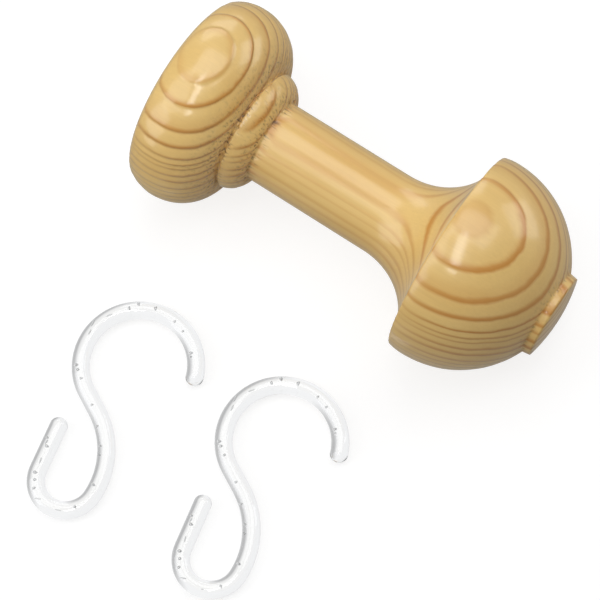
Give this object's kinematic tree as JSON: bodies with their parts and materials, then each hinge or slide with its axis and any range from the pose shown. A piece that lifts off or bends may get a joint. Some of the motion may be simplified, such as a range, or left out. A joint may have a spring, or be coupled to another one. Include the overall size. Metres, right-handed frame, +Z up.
{
  "type": "turned wooden wall peg with s-hooks",
  "caption": "Turned wooden wall peg with a disc base, bead, straight shaft and domed head, lying beside loose clear plastic S-hooks that fit over the shaft.",
  "frame": {"origin": "centre of the whole row's footprint, on the surface it lies on", "axes": "+X along the peg from its back face to its nose, +Z up, hooks on the -Y side"},
  "size_m": [0.1428, 0.1712, 0.0704],
  "materials": {
    "pine": "satin clear lacquer over turned pine with orange-brown growth rings",
    "clear_plastic": "water-clear gloss with small bubbles"
  },
  "bodies": {
    "peg": {"turned_peg": "pine"},
    "hook_a": {"s_hook_a": "clear_plastic"},
    "hook_b": {"s_hook_b": "clear_plastic"}
  },
  "joints": [
    {"name": "hook_a_lift", "type": "slide", "parent": "peg", "child": "hook_a", "axis": [0, 0, 1], "range_m": [0, 0.1]},
    {"name": "hook_b_lift", "type": "slide", "parent": "peg", "child": "hook_b", "axis": [0, 0, 1], "range_m": [0, 0.1]}
  ]
}
